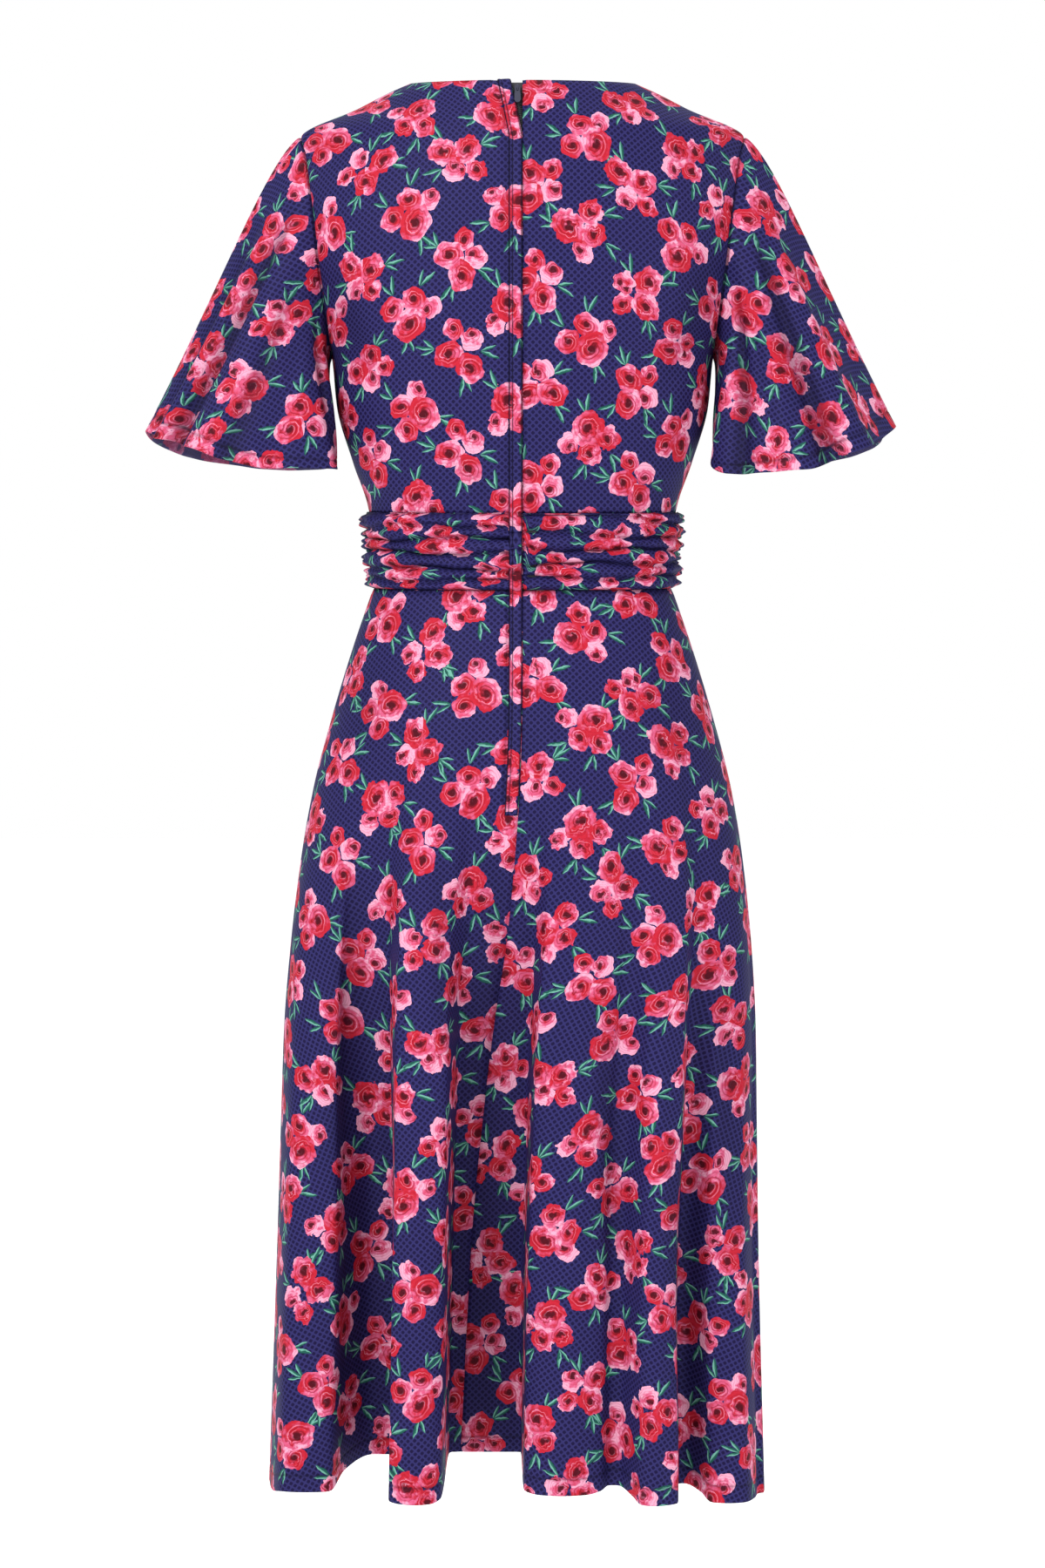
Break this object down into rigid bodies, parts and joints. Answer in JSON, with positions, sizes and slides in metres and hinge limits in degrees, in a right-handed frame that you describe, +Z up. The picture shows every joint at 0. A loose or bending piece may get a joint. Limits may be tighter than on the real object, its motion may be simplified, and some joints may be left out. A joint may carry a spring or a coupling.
{
  "type": "tea dress",
  "caption": "Knee-length tea dress with flared short sleeves, gathered midriff band, flared skirt and back zip, filled out as if worn with nobody in it.",
  "frame": {"origin": "midway between the two side neck points, at their height, where the wearer's shoulders carry the dress", "axes": "+X to the wearer's right, +Y to the wearer's front, +Z up; the zip is on the -Y side"},
  "size_m": [0.621, 0.2871, 1.163],
  "materials": {
    "print": "smooth knitted jersey, navy with a rose print",
    "tape": "matt woven tape",
    "zip_metal": "dark satin enamel"
  },
  "bodies": {
    "dress": {"bodice_front": "print", "bodice_back_left": "print", "bodice_back_right": "print", "band_front": "print", "band_back_left": "print", "band_back_right": "print", "skirt_front": "print", "skirt_back_left": "print", "skirt_back_right": "print", "sleeve_left": "print", "sleeve_right": "print", "zip_lap": "print", "zip_tape": "tape", "zip_slider": "zip_metal"},
    "pull": {"zip_pull": "zip_metal"}
  },
  "joints": [
    {"name": "pull_flip", "type": "hinge", "parent": "dress", "child": "pull", "pos_m": [-0.004, -0.08235, -0.01085], "axis": [-1, 0, 0], "range_deg": [0, 150]}
  ]
}
